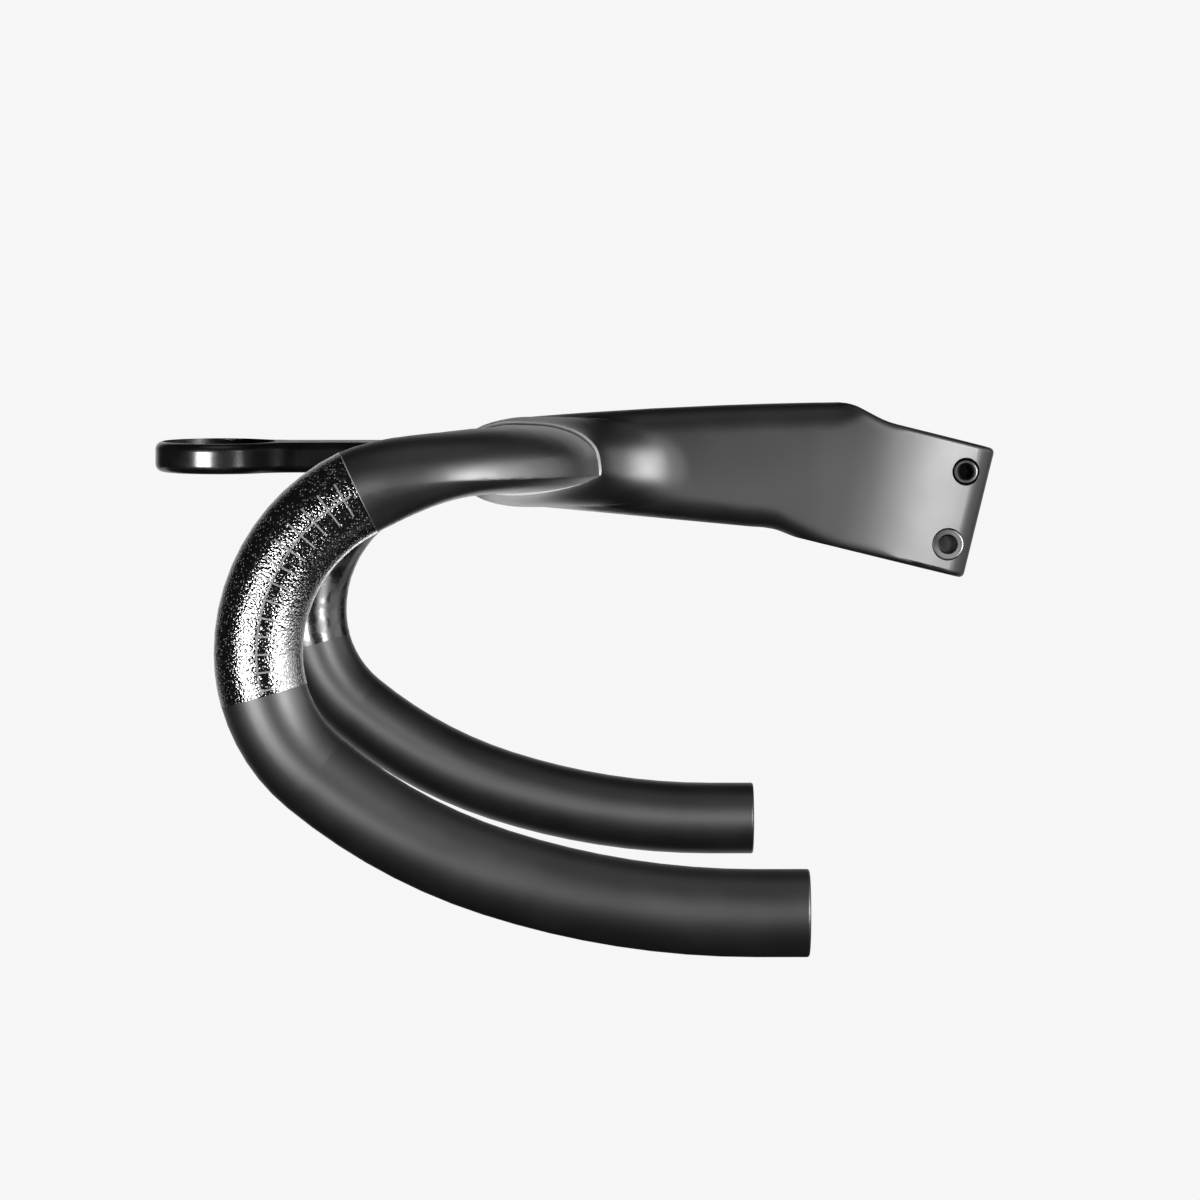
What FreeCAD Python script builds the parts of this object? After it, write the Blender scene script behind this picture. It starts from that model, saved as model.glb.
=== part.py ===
"""One-piece road handlebar and stem with an out-front computer mount.

Frame: millimetres, +X forward, +Y to the rider's left, +Z up. The origin is on the steerer axis, at the
centre of the clamp's lower face, where the stem sits on the headset.
"""

import FreeCAD, Part
import math
import os

from FreeCAD import Placement, Rotation, Vector

SIZES = {
    # steerer clamp
    "steerer_tilt": 13.8,
    "steerer_radius": 14.3,
    "clamp_height": 40.4,
    "clamp_rear": 25.8,
    "clamp_half_width": 20.5,
    "clamp_widest": 15,
    "clamp_side_curve": 98,
    "clamp_corner_start": 20.5,
    "clamp_edge_round": 1.6,
    "cap_seat_radius": 17.4,
    "slit_width": 2.4,
    # stem, seen from the side
    "shoulder_x": 10,
    "shoulder_rise": 5.65,
    "shoulder_slope": 28,
    "shoulder_round": 15,
    "shoulder_foot_round": 26,
    "back_x": 60,
    "back_z": 46.6,
    "back_round": 1300,
    "belly_x": 26.5,
    "belly_slope": 22,
    "belly_step": 6,
    "belly_round": 14,
    "stem_crest_rise": 1.2,
    "stem_crest_back": 5,
    "stem_belly_drop": 2.8,
    "stem_nose": 7,
    "stem_nose_bevel": 5,
    "stem_round_width": 7.5,
    "stem_top_round": 9,
    "stem_crown_run": 5,
    "stem_keel_round": 7,
    "stem_root_round": 11,
    "stem_belly_run": 26,
    "stem_step_run": 2,
    "hull_gap": 0.05,
    "hull_clearance": 6,
    # wing that joins the stem to both tops
    "wing_x": 111.5,
    "wing_z": 30.4,
    "wing_front": 17.6,
    "wing_rear": 26.3,
    "wing_half_thickness": 11.2,
    "wing_tail_drop": 4.1,
    "wing_half_span": 46,
    "wing_top_swell": 1.2,
    "wing_bottom_swell": 3.6,
    "wing_crest_shift": 13.5,
    "flare_length": 28,
    "flare_width": 17.5,
    "flare_inner_run": 12,
    "collar_round": 0.9,
    # tops, bend and ramp
    "drop_half_width": 210,
    "tops_half_chord": 19.8,
    "tops_crest_offset": 4.5,
    "tops_half_thickness": 9.9,
    "tops_thin_lead": 90,
    "tops_narrow_lead": 30,
    "bend_round": 40,
    "bend_half_thickness": 9.1,
    "bend_swell_run": 34,
    "ramp_start": 5,
    "ramp_join_angle": 9,
    # drop
    "bar_radius": 12,
    "bar_wall": 2.2,
    "front_reach": 73.3,
    "drop_height": 122.8,
    "hook_upper_round": 48.5,
    "hook_lower_round": 42.4,
    "hook_lower_turn": 50.4,
    "sweep_round": 148.4,
    "sweep_turn": 21.7,
    "tail_round": 229,
    "drop_straight": 14.8,
    "end_round": 0.8,
    # lever zone, coated with grit
    "grip_upper_angle": 64,
    "grip_lower_angle": 15.5,
    "grip_coat": 0.1,
    # pinch bolts and sleeve nuts
    "bolt_back": 18.4,
    "bolt_spacing": 22.6,
    "bolt_radius": 2.5,
    "bolt_head_radius": 3.7,
    "bolt_head_height": 5,
    "bolt_head_seat": 8.9,
    "bolt_hex": 4,
    "bolt_hex_depth": 2.6,
    "bolt_mouth_radius": 2.75,
    "bolt_rim_round": 0.5,
    "counterbore_radius": 4.2,
    "nut_flange_radius": 4.8,
    "nut_flange_height": 2.2,
    "nut_face": 14.1,
    "nut_barrel_radius": 3.6,
    "nut_barrel_length": 7,
    "nut_hex": 5,
    "nut_hex_depth": 3,
    "nut_mouth_radius": 3.05,
    "fit_clearance": 0.12,
    # computer mount
    "mount_z": 30.85,
    "mount_height": 9.2,
    "mount_roll": 2.9,
    "ring_x": 201,
    "ring_radius": 19.3,
    "ring_wall": 2.2,
    "ring_ledge": 2.9,
    "ring_ledge_height": 2,
    "ring_edge_round": 2.4,
    "arm_half_width": 9.5,
    "arm_blend": 14,
    "arm_root_gap": 0.3,
    "tongue_depth": 15,
    "tongue_half_width": 9,
    "tongue_height": 6,
    "mount_screw_radius": 2,
    "mount_screw_head_radius": 3.5,
    "mount_screw_head_height": 2.6,
    "mount_screw_half_gap": 5,
    "mount_screw_seat": 2.5,
    "mount_screw_hex": 2.5,
    "insert_height": 4.6,
    "insert_flange_height": 1.6,
    "insert_bore_radius": 11.4,
    "insert_slot_radius": 14.2,
    "insert_slot_width": 11,
    "insert_screw_radius": 0.8,
    "insert_screw_head_radius": 1.3,
    "insert_screw_head_height": 1,
    "insert_screw_hex": 1.3,
}

# How far cutters and prisms run past what they cut
OVERRUN = 10
# How many times over the stem's two prisms span each other
PRISM_SPAN = 4
# How near counts as the same place, and how near two ends count as joined
CLOSE = 0.01
JOINED = 1e-6
# Points round a wing section, and the exponents of its quarters: an ellipse, then those of the tail
SECTION_POINTS = 24
ELLIPSE = 2
TAIL_TOP = 2.6
TAIL_BELLY = 1.6
ROOT_TAIL = 2.5
# Where the wing root has its rings of points: degrees round its flare, then degrees on inside the stem
COLLAR_BACKS = (0, 0.45, 1, 3, 8)
FLARE_TURNS = (20, 40, 55, 68, 80, 90)
INNER_TURNS = (30, 60, 90)
# Rings of points along the stem's rounded hull, and the steps round its corners and along its flats
HULL_STATIONS = 24
CORNER_POINTS = 8
FLAT_POINTS = 8
# Rings of points along the tops and round the bend, and how far the tops run into the wing root
TOP_STATIONS = 4
BEND_STATIONS = 6
TOP_LAP = 8
# How far, in degrees, the bars run into the lever zone
GRIP_LAP = 2
# The ramp falls away from the tops as a parabola does
RAMP_POWER = 2
# Corner and side distances of a hexagon for one unit across its flats
HEX_CORNER = 1 / math.sqrt(3)
HEX_SIDE = 1 / 2
# A small screw's socket: its depth for the head's height, and its mouth for its width
SOCKET_DEPTH = 0.6
SOCKET_MOUTH = 0.6
# Share of a thread's depth that a small screw fills
SCREW_BITE = 0.8

doc = FreeCAD.newDocument("integrated_handlebar_stem")
sheet = doc.addObject("Spreadsheet::Sheet", "Sizes")
for row, (alias, value) in enumerate(SIZES.items(), start=1):
    sheet.set(f"A{row}", alias)
    sheet.set(f"B{row}", str(value))
    sheet.setAlias(f"B{row}", alias)
doc.recompute()


class Dim:
    """A size that knows its value now and the expression that keeps it tied to the sheet."""

    def __init__(self, value, text):
        self.value = value
        self.text = text

    def __add__(self, other):
        return combine(self, "+", other, self.value + number(other))

    def __sub__(self, other):
        return combine(self, "-", other, self.value - number(other))

    def __mul__(self, other):
        return combine(self, "*", other, self.value * number(other))

    def __neg__(self):
        return Dim(-self.value, f"(-1 * {self.text})")


def number(dim):
    return dim.value if isinstance(dim, Dim) else dim


def text(dim):
    return dim.text if isinstance(dim, Dim) else str(dim)


def combine(left, sign, right, value):
    return Dim(value, f"({text(left)} {sign} {text(right)})")


def cell(alias):
    return Dim(float(sheet.get(alias)), f"Sizes.{alias}")


def size(alias):
    return cell(alias).value


def bind(item, **sizes):
    """Ties properties of a document object to the sheet."""
    for name, dim in sizes.items():
        item.setExpression(name, text(dim))
    return item


def mix(a, b, share):
    return a + (b - a) * share


def ease(share):
    share = min(max(share, 0), 1)
    return share * share * (3 - 2 * share)


# Plane geometry


def rounded_run(corners):
    """Edges of a closed outline in the XY plane: corners are (x, y, radius), rounded by tangent arcs."""
    count = len(corners)
    entries, exits, arcs = [], [], []
    for i, (x, y, radius) in enumerate(corners):
        here = Vector(x, y, 0)
        back = (Vector(*corners[i - 1][:2], 0) - here).normalize()
        ahead = (Vector(*corners[(i + 1) % count][:2], 0) - here).normalize()
        if radius == 0:
            entries.append(here)
            exits.append(here)
            arcs.append(None)
            continue
        half = back.getAngle(ahead) / 2
        reach = radius / math.tan(half)
        middle = here + (back + ahead).normalize() * (radius / math.sin(half) - radius)
        entries.append(here + back * reach)
        exits.append(here + ahead * reach)
        arcs.append(Part.Arc(entries[-1], middle, exits[-1]))
    edges = []
    for i in range(count):
        if arcs[i]:
            edges.append(arcs[i])
        start, end = exits[i], entries[(i + 1) % count]
        if start.distanceToPoint(end) > JOINED:
            edges.append(Part.LineSegment(start, end))
    return edges


def free_sketch(name, edges, placement):
    """A sketch that stands on its own plane."""
    sketch = doc.addObject("Sketcher::SketchObject", name)
    sketch.addGeometry(edges, False)
    sketch.Placement = placement
    return sketch


def extrusion(name, sketch, direction, length, symmetric):
    prism = doc.addObject("Part::Extrusion", name)
    prism.Base = sketch
    prism.DirMode = "Custom"
    prism.Dir = direction
    prism.Solid = True
    prism.Symmetric = symmetric
    return bind(prism, LengthFwd=length)


def cylinder(name, radius, height, base, axis):
    rod = doc.addObject("Part::Cylinder", name)
    rod.Placement = Placement(base, Rotation(Vector(0, 0, 1), axis))
    return bind(rod, Radius=radius, Height=height)


def box(name, length, width, height, placement):
    block = doc.addObject("Part::Box", name)
    block.Placement = placement
    return bind(block, Length=length, Width=width, Height=height)


def hex_recess(name, across, depth, mouth, top, outward):
    """A hexagon socket with a countersunk mouth, to be cut down from a fastener's top."""
    socket = doc.addObject("Part::Prism", f"{name}_socket")
    socket.Polygon = 6
    socket.Placement = Placement(top, Rotation(Vector(0, 0, 1), -outward))
    bind(socket, Circumradius=across * HEX_CORNER, Height=depth)
    countersink = doc.addObject("Part::Cone", f"{name}_mouth")
    countersink.Placement = socket.Placement
    bind(countersink, Radius1=mouth, Radius2=across * HEX_SIDE, Height=mouth - across * HEX_SIDE)
    return fuse(f"{name}_recess", [socket, countersink])


def fuse(name, shapes):
    joined = doc.addObject("Part::MultiFuse", name)
    joined.Shapes = shapes
    return joined


def common(name, shapes):
    shared = doc.addObject("Part::MultiCommon", name)
    shared.Shapes = shapes
    return shared


def cut(name, base, tool):
    remainder = doc.addObject("Part::Cut", name)
    remainder.Base = base
    remainder.Tool = tool
    return remainder


def rounded(name, base, radius, pick):
    """The base with a fillet of one radius on the edges that pick chooses."""
    doc.recompute()
    fillet = doc.addObject("Part::Fillet", name)
    fillet.Base = base
    fillet.Edges = [(i, radius, radius) for i, edge in enumerate(base.Shape.Edges, start=1) if pick(edge)]
    return fillet


def rim_at(centre):
    """Picks the round edges about a point."""
    return lambda edge: edge.isClosed() and edge.CenterOfMass.distanceToPoint(centre) < CLOSE


def mirrored(name, source):
    """The other side's copy of a left-hand piece."""
    copy = doc.addObject("Part::Mirroring", name)
    copy.Source = source
    copy.Base = Vector(0, 0, 0)
    copy.Normal = Vector(0, 1, 0)
    return copy


# Steerer frame: v runs forward across the steerer, u up along it

TILT = math.radians(size("steerer_tilt"))
UP = Vector(-math.sin(TILT), 0, math.cos(TILT))
FORE = Vector(math.cos(TILT), 0, math.sin(TILT))
SIDE = Vector(0, 1, 0)
XZ_PLANE = Placement(Vector(0, 0, 0), Rotation(Vector(1, 0, 0), 90))
CLAMP_PLANE = Placement(Vector(0, 0, 0), Rotation(SIDE, -size("steerer_tilt")))


def at_clamp(v, u, y=0.0):
    return FORE * v + UP * u + SIDE * y


def stem_core():
    """The stem's side outline crossed with its outline seen along the steerer, with rounded edges."""
    rear = -size("clamp_rear") - OVERRUN
    low, high = at_clamp(rear, 0), at_clamp(rear, size("clamp_height"))
    slope = math.tan(TILT)
    ramp = math.tan(math.radians(size("shoulder_slope")))
    crown_x = size("shoulder_x")
    seat_z = size("clamp_height") / math.cos(TILT)
    crown_z = seat_z + size("shoulder_rise")
    foot_x = (crown_z - ramp * crown_x - seat_z) / (slope - ramp)
    step_x = size("belly_x") + size("belly_step")
    step_z = size("belly_x") * slope + size("belly_step") * math.tan(math.radians(size("belly_slope")))
    nose_x = size("wing_x") + size("stem_nose")
    crest_z = size("wing_z") + size("wing_half_thickness")
    keel_z = size("wing_z") - size("wing_half_thickness")
    outline = [
        (low.x, low.z, 0),
        (size("belly_x"), size("belly_x") * slope, size("belly_round")),
        (step_x, step_z, size("belly_round")),
        (size("wing_x"), keel_z - size("stem_belly_drop"), 0),
        (nose_x, keel_z + size("stem_nose_bevel"), 0),
        (nose_x, crest_z - size("stem_nose_bevel"), 0),
        (size("wing_x") - size("stem_crest_back"), crest_z + size("stem_crest_rise"), 0),
        (size("back_x"), size("back_z"), size("back_round")),
        (crown_x, crown_z, size("shoulder_round")),
        (foot_x, seat_z + foot_x * slope, size("shoulder_foot_round")),
        (high.x, high.z, 0),
    ]
    side = free_sketch("stem_side_outline", rounded_run(outline), XZ_PLANE)
    profile = extrusion("stem_side_prism", side, SIDE, cell("clamp_half_width") * PRISM_SPAN, True)

    half, curve = size("clamp_half_width"), size("clamp_side_curve")
    start, back = size("clamp_corner_start"), size("clamp_rear")
    widest = size("clamp_widest")
    lean = math.asin((start + widest) / curve)
    corner_y = half - curve + curve * math.cos(lean)
    corner = (back - start) / (1 - math.sin(lean))
    rear_y = corner_y - corner * math.cos(lean)
    mid_lean = lean / 2
    mid_y = half - curve + curve * math.cos(mid_lean)
    mid_corner = (lean + math.pi / 2) / 2
    turn = Vector(-start, corner_y - corner * math.cos(lean), 0) + Vector(corner * math.sin(lean), 0, 0)
    front = nose_x + OVERRUN
    left = [
        Part.LineSegment(Vector(front, half, 0), Vector(widest, half, 0)),
        Part.Arc(
            Vector(widest, half, 0),
            Vector(widest - curve * math.sin(mid_lean), mid_y, 0),
            Vector(-start, corner_y, 0),
        ),
        Part.Arc(
            Vector(-start, corner_y, 0),
            turn + Vector(-corner * math.sin(mid_corner), corner * math.cos(mid_corner), 0),
            Vector(-back, rear_y, 0),
        ),
        Part.LineSegment(Vector(-back, rear_y, 0), Vector(-back, -rear_y, 0)),
    ]
    right = [
        Part.Arc(
            Vector(-back, -rear_y, 0),
            Vector(turn.x - corner * math.sin(mid_corner), -turn.y - corner * math.cos(mid_corner), 0),
            Vector(-start, -corner_y, 0),
        ),
        Part.Arc(
            Vector(-start, -corner_y, 0),
            Vector(widest - curve * math.sin(mid_lean), -mid_y, 0),
            Vector(widest, -half, 0),
        ),
        Part.LineSegment(Vector(widest, -half, 0), Vector(front, -half, 0)),
        Part.LineSegment(Vector(front, -half, 0), Vector(front, half, 0)),
    ]
    plan = free_sketch("stem_plan_outline", left + right, CLAMP_PLANE)
    column = extrusion("stem_plan_prism", plan, UP, cell("clamp_height") * PRISM_SPAN, True)
    block = common("stem_block", [profile, column])
    crisp = rounded("stem_crisp", block, size("clamp_edge_round"), stem_edge)
    return common("stem_core", [crisp, stem_hull(side.Shape, foot_x, step_x, nose_x)])


def stem_edge(edge):
    """Picks the edges along the stem's sides and round its rear, back from the wing."""
    first, last = edge.valueAt(edge.FirstParameter), edge.valueAt(edge.LastParameter)
    middle = edge.valueAt((edge.FirstParameter + edge.LastParameter) / 2)
    along = edge.tangentAt((edge.FirstParameter + edge.LastParameter) / 2)
    at_rear = abs(middle.dot(FORE) + size("clamp_rear")) < CLOSE
    across = abs(along.y) > 1 - CLOSE and not at_rear
    upright = abs(along.dot(UP)) > 1 - CLOSE
    return not (across or upright or max(first.x, last.x) > size("wing_x") + CLOSE)


def hull_ring(x, half, low, high, low_round):
    """Points round a box-like section across the stem, with elliptic corners."""
    wide = size("stem_round_width")
    spread = [math.radians(90) * k / CORNER_POINTS for k in range(CORNER_POINTS + 1)]
    turns = [turn + math.radians(90) * quarter for quarter in range(4) for turn in spread]
    corners = []
    for k, turn in enumerate(turns):
        quarter = k // len(spread)
        side = 1 if quarter in (0, 3) else -1
        upper = quarter < 2
        tall = size("stem_top_round") if upper else low_round
        level = high - tall if upper else low + tall
        corners.append(Vector(x, side * (half - wide) + wide * math.cos(turn), level + tall * math.sin(turn)))
    points = []
    for k, point in enumerate(corners):
        points.append(point)
        if k % len(spread) == CORNER_POINTS:
            ahead = corners[(k + 1) % len(corners)]
            points += [point + (ahead - point) * (n / FLAT_POINTS) for n in range(1, FLAT_POINTS)]
    return points


def stem_hull(outline, foot_x, step_x, nose_x):
    """A soft hull round the stem.

    It rounds the stem's edges from the wing back, and rises clear of the clamp behind the shoulder
    and behind the belly.
    """
    crown_x = size("shoulder_x") + size("stem_crown_run")
    crest_x = size("wing_x") - size("stem_crest_back")
    clear_x = size("belly_x") - size("stem_belly_run")
    rear_x = -size("clamp_rear") * math.cos(TILT)
    gap, free = size("hull_gap"), size("hull_clearance")

    def levels(x):
        ray = Part.makeLine(Vector(x, 0, -size("drop_height")), Vector(x, 0, size("drop_height")))
        return sorted(vertex.Z for vertex in outline.section(ray).Vertexes)

    rings = []
    for k in range(HULL_STATIONS + 1):
        x = mix(rear_x - OVERRUN, nose_x + OVERRUN, k / HULL_STATIONS)
        crown = 1 - ease((x - foot_x) / (crown_x - foot_x))
        keel = 1 - ease((x - clear_x) / (step_x + size("stem_step_run") - clear_x))
        high = levels(min(max(x, crown_x), crest_x))[-1] + gap + free * crown
        low = levels(min(max(x, rear_x + gap), size("wing_x") - gap))[0] - gap - free * keel
        toward_wing = ease((x - step_x) / (crest_x - step_x))
        low_round = mix(size("stem_keel_round"), size("stem_root_round"), toward_wing)
        rings.append(hull_ring(x, size("clamp_half_width") + gap, low, high, low_round))
    return skin("stem_hull", rings)


# Wing and bar


def section(centre, chord, lift, halves, dip, tails):
    """Points round a wing section: halves are its front, rear, top and bottom reaches from the crest.

    Its tail lies lower than its nose by dip. tails are the exponents of its rear top, rear bottom, front top
    and front bottom quarters: 2 is an ellipse, more is blunter.
    """
    front, rear, top, bottom = halves
    points = []
    for k in range(SECTION_POINTS):
        turn = math.tau * k / SECTION_POINTS
        c, s = math.cos(turn), math.sin(turn)
        fall = dip if c < 0 else 0
        power = 2 / tails[(0 if c < 0 else 2) + (0 if s > 0 else 1)]
        x = math.copysign(abs(c) ** power, c) * (rear if c < 0 else front)
        z = abs(s) ** power * (top + fall if s > 0 else fall - bottom) - fall
        points.append(centre + chord * x + lift * z)
    return points


def skin(name, rings):
    """A solid with flat ends whose side passes smoothly through rings of points."""
    loops = []
    for ring in rings:
        loop = Part.BSplineCurve()
        loop.interpolate(Points=ring, PeriodicFlag=True, Parameters=[float(k) for k in range(len(ring) + 1)])
        loops.append(loop)
    middles = [sum(ring, Vector()) * (1 / len(ring)) for ring in rings]
    along = [0.0]
    for here, ahead in zip(middles, middles[1:]):
        along.append(along[-1] + here.distanceToPoint(ahead))
    columns = []
    for poles in zip(*(loop.getPoles() for loop in loops)):
        column = Part.BSplineCurve()
        column.interpolate(Points=list(poles), Parameters=along)
        columns.append(column)
    surface = Part.BSplineSurface()
    surface.buildFromPolesMultsKnots(
        [column.getPoles() for column in columns],
        loops[0].getMultiplicities(),
        columns[0].getMultiplicities(),
        loops[0].getKnots(),
        columns[0].getKnots(),
        True,
        False,
        loops[0].Degree,
        columns[0].Degree,
    )
    side = surface.toShape()
    ends = [Part.Face(Part.Wire(edge)) for edge in side.Edges if edge.isClosed()]
    shell = Part.makeShell([side] + ends)
    shell.sewShape()
    feature = doc.addObject("Part::Feature", name)
    feature.Shape = Part.makeSolid(shell)
    return feature


def wing():
    """The wing root from collar to collar, flaring back into the stem's sides."""
    half_span, half_width = size("wing_half_span"), size("clamp_half_width") - size("fit_clearance")
    length, width, inner = size("flare_length"), size("flare_width"), size("flare_inner_run")
    tail_x = size("wing_x") - size("wing_rear")
    nose_x = size("wing_x") + size("wing_front")
    flare_y = half_width + width
    lip = size("collar_round")
    stations = [(half_span - lip * back, tail_x) for back in COLLAR_BACKS] + [(flare_y, tail_x)]
    for turn in map(math.radians, FLARE_TURNS):
        stations.append((flare_y - width * math.sin(turn), tail_x - length * (1 - math.cos(turn))))
    for turn in map(math.radians, INNER_TURNS):
        stations.append((half_width * math.cos(turn), tail_x - length - inner * math.sin(turn)))
    half = size("wing_half_thickness")
    places = []
    for y, rear_x in stations:
        swell = ease(1 - y / flare_y)
        flared = ease((flare_y - y) / width)
        crest_x = size("wing_x") - size("wing_crest_shift") * swell
        top = half + size("wing_top_swell") * flared
        bottom = half + size("wing_bottom_swell") * flared
        inset = lip * max(1 - (half_span - y) / lip, 0) ** 2
        halves = [reach - inset for reach in (nose_x - crest_x, crest_x - rear_x, top, bottom)]
        tail_top, tail_belly = mix(TAIL_TOP, ROOT_TAIL, flared), mix(TAIL_BELLY, ROOT_TAIL, flared)
        tails = (tail_top, tail_belly, ELLIPSE, ELLIPSE + swell)
        places.append((crest_x, y, halves, size("wing_tail_drop"), tails))
    right = [(x, -y, *rest) for x, y, *rest in places]
    left = places[-2::-1]
    rings = []
    for x, y, *rest in right + left:
        rings.append(section(Vector(x, y, size("wing_z")), Vector(1, 0, 0), Vector(0, 0, 1), *rest))
    return skin("wing_root", rings)


FRONT_X = size("wing_x") - size("tops_crest_offset") + size("front_reach")
LOWER_TURN = math.radians(size("hook_lower_turn"))
SWEEP_TURN = LOWER_TURN + math.radians(size("sweep_turn"))
END_Z = size("wing_z") - size("drop_height")
FRONT_Z = (
    END_Z
    + size("hook_lower_round") * math.sin(LOWER_TURN)
    + size("sweep_round") * (math.sin(SWEEP_TURN) - math.sin(LOWER_TURN))
    + size("tail_round") * (1 - math.sin(SWEEP_TURN))
)


def hook(angle):
    """A point of the drop's centreline near its front: angle in degrees above the front-most point."""
    turn = math.radians(angle)
    radius = size("hook_upper_round") if angle > 0 else size("hook_lower_round")
    x, z = FRONT_X - radius + radius * math.cos(turn), FRONT_Z + radius * math.sin(turn)
    return Vector(x, size("drop_half_width"), z)


def bar():
    """The left top, its bend and its ramp, from inside the wing root to just inside the lever zone."""
    bend, z = size("bend_round"), size("wing_z")
    mid_x = size("wing_x") - size("tops_crest_offset")
    first_y, bend_y = size("wing_half_span") - TOP_LAP, size("drop_half_width") - bend
    join_angle = size("grip_upper_angle") + size("ramp_join_angle")
    last_angle = size("grip_upper_angle") - GRIP_LAP
    join = hook(join_angle)
    ramp_x = mid_x + size("ramp_start")
    # Each place has a point, a heading seen from above, a slope and its distance past the start of the bend
    places = []
    for k in range(TOP_STATIONS):
        y = mix(first_y, bend_y, k / TOP_STATIONS)
        places.append((Vector(mid_x, y, z), 0, 0, y - bend_y))
    for k in range(BEND_STATIONS):
        turn = math.pi / 2 * k / BEND_STATIONS
        x = mid_x + bend * (1 - math.cos(turn))
        share = max((x - ramp_x) / (join.x - ramp_x), 0)
        fall = (z - join.z) * share**RAMP_POWER
        steep = (z - join.z) / (join.x - ramp_x) * RAMP_POWER * share ** (RAMP_POWER - 1)
        point = Vector(x, bend_y + bend * math.sin(turn), z - fall)
        places.append((point, turn, math.atan(steep * math.sin(turn)), bend * turn))
    for angle in (join_angle, (join_angle + last_angle) / 2, last_angle):
        past = bend * math.pi / 2 + size("hook_upper_round") * math.radians(join_angle - angle)
        places.append((hook(angle), math.pi / 2, math.radians(90 - angle), past))
    narrow_lead, thin_lead = size("tops_narrow_lead"), size("tops_thin_lead")
    end, dip_end = places[-1][-1], bend * math.pi / 4
    rings = []
    for point, turn, slope, past in places:
        narrow = ease((past + narrow_lead) / (end + narrow_lead))
        thin = ease((past + thin_lead) / (bend * math.pi / 4 + thin_lead))
        thick = ease(1 - (end - past) / size("bend_swell_run"))
        inward = Vector(math.cos(turn), -math.sin(turn), 0)
        heading = Vector(math.cos(slope) * math.sin(turn), math.cos(slope) * math.cos(turn), -math.sin(slope))
        upward = inward.cross(heading)
        dip = size("wing_tail_drop") * (1 - ease((past - dip_end) / (end - dip_end)))
        half_chord = mix(size("tops_half_chord"), size("bar_radius"), narrow)
        offset = mix(size("tops_crest_offset"), 0, narrow)
        half = mix(size("tops_half_thickness"), size("bend_half_thickness"), thin)
        half = mix(half, size("bar_radius"), thick)
        halves = (half_chord - offset, half_chord + offset, half, half)
        tails = (mix(TAIL_TOP, ELLIPSE, narrow), mix(TAIL_BELLY, ELLIPSE, narrow), ELLIPSE, ELLIPSE)
        rings.append(section(point + inward * offset, inward, upward, halves, dip, tails))
    return skin("bar_left", rings)


def drop_path(name, start, stop, beyond=0):
    """The drop's centreline in its own plane, from one hook angle to another or on to the bar's end."""
    side = size("drop_half_width")
    edges = []

    def arc(centre, radius, first, last):
        turns = [first, (first + last) / 2, last]
        points = [centre + Vector(radius * math.cos(turn), 0, radius * math.sin(turn)) for turn in turns]
        edges.append(Part.Arc(*points).toShape())

    upper, lower = size("hook_upper_round"), size("hook_lower_round")
    if start > 0:
        arc(Vector(FRONT_X - upper, side, FRONT_Z), upper, math.radians(start), 0)
    centre = Vector(FRONT_X - lower, side, FRONT_Z)
    first = min(math.radians(start), 0)
    if stop is not None:
        arc(centre, lower, first, math.radians(stop))
    else:
        sweep, tail = size("sweep_round"), size("tail_round")
        arc(centre, lower, first, -LOWER_TURN)
        centre -= Vector(math.cos(LOWER_TURN), 0, -math.sin(LOWER_TURN)) * (sweep - lower)
        arc(centre, sweep, -LOWER_TURN, -SWEEP_TURN)
        centre -= Vector(math.cos(SWEEP_TURN), 0, -math.sin(SWEEP_TURN)) * (tail - sweep)
        arc(centre, tail, -SWEEP_TURN, -math.pi / 2)
        straight = Vector(-size("drop_straight") - beyond, 0, 0)
        low = Vector(centre.x, side, END_Z)
        edges.append(Part.makeLine(low, low + straight))
    path = doc.addObject("Part::Feature", name)
    path.Shape = Part.Wire(edges)
    return path


def tube(name, path, radius):
    """A round bar of one radius along a path."""
    start = path.Shape.Edges[0]
    heading = start.tangentAt(start.FirstParameter)
    ring = doc.addObject("Part::Circle", f"{name}_ring")
    ring.Placement = Placement(start.valueAt(start.FirstParameter), Rotation(Vector(0, 0, 1), heading))
    bind(ring, Radius=radius)
    pipe = doc.addObject("Part::Sweep", name)
    pipe.Sections = [ring]
    pipe.Spine = (path, [f"Edge{i + 1}" for i in range(len(path.Shape.Edges))])
    pipe.Solid = True
    pipe.Frenet = False
    return pipe


def half_bar():
    """The left half of the handlebar, hollow from the lever zone to its open end."""
    upper, lower = size("grip_upper_angle"), size("grip_lower_angle")
    grip = tube("grip_left", drop_path("grip_path", upper, -lower), cell("bar_radius") + cell("grip_coat"))
    drop = tube("drop_left", drop_path("drop_line", GRIP_LAP - lower, None), cell("bar_radius"))
    doc.recompute()
    tip = drop.Shape.BoundBox.XMin

    def at_tip(edge):
        return edge.BoundBox.XMax < tip + CLOSE

    drop_end = rounded("drop_left_end", drop, size("end_round"), at_tip)
    hollow_line = drop_path("hollow_line", upper - 2 * GRIP_LAP, None, OVERRUN)
    hollow = tube("hollow_left", hollow_line, cell("bar_radius") - cell("bar_wall"))
    return cut("half_bar", fuse("half_bar_solid", [bar(), grip, drop_end]), hollow)


# Pinch bolts: the upper one's head is on the left, the lower one's on the right

MID_LEVEL = size("clamp_height") / 2
PINCHES = {
    "upper": (MID_LEVEL + size("bolt_spacing") / 2, SIDE),
    "lower": (MID_LEVEL - size("bolt_spacing") / 2, -SIDE),
}


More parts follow.
